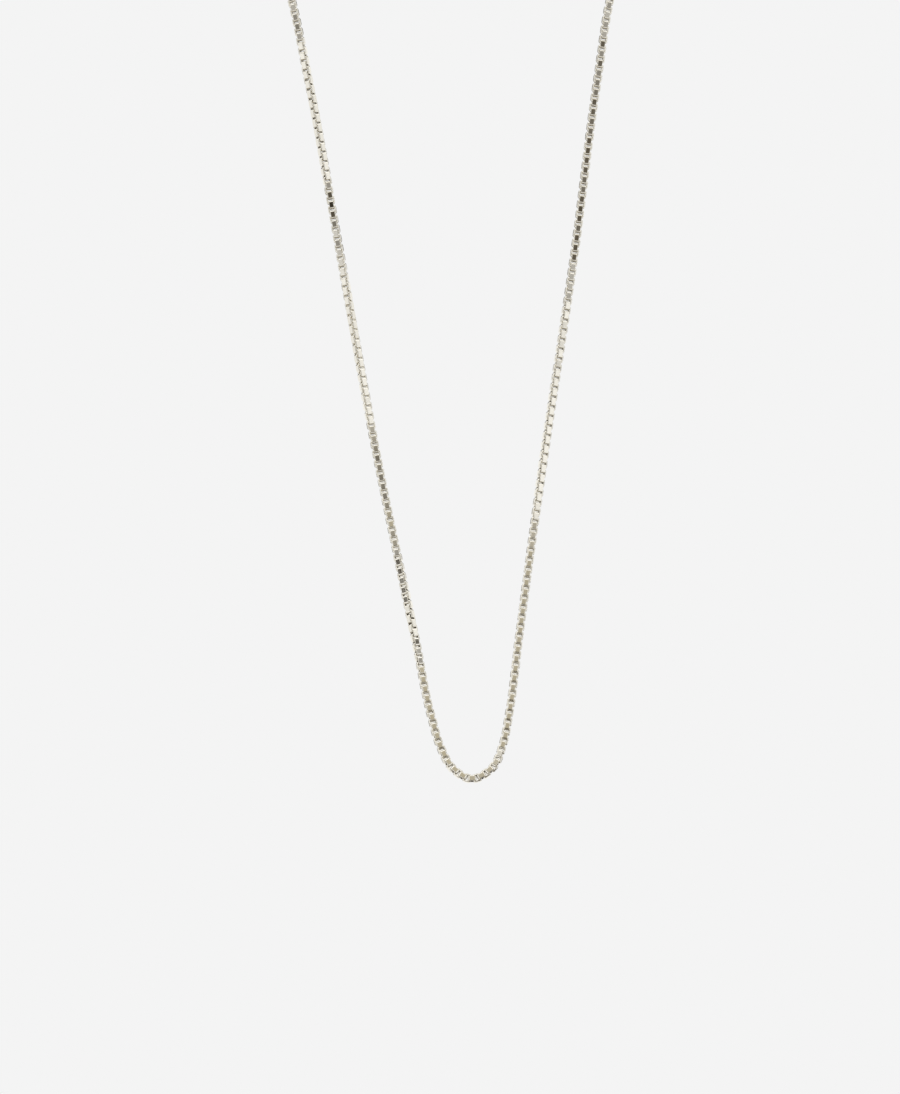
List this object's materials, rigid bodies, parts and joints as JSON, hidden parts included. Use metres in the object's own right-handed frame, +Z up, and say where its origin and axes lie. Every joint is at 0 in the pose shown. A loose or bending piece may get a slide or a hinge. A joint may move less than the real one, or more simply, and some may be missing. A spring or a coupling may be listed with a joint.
{
  "type": "box chain necklace",
  "caption": "Fine box-link neck chain in a long closed loop that hangs in a deep V, fastened behind by a spring-ring clasp.",
  "frame": {"origin": "back of the neck, in the middle, where the fastening lies against it", "axes": "+Z up; -Y towards the front of the neck, where the V hangs; +X to the right as seen from the front"},
  "size_m": [0.0948, 0.1151, 0.1934],
  "materials": {
    "chain_silver": "polished silver, warm in tone",
    "fastening_silver": "polished silver, warm in tone"
  },
  "bodies": {
    "root": {"box_chain": "chain_silver", "eye_ring": "fastening_silver", "clasp": "fastening_silver", "catch_ring": "fastening_silver"}
  },
  "joints": []
}
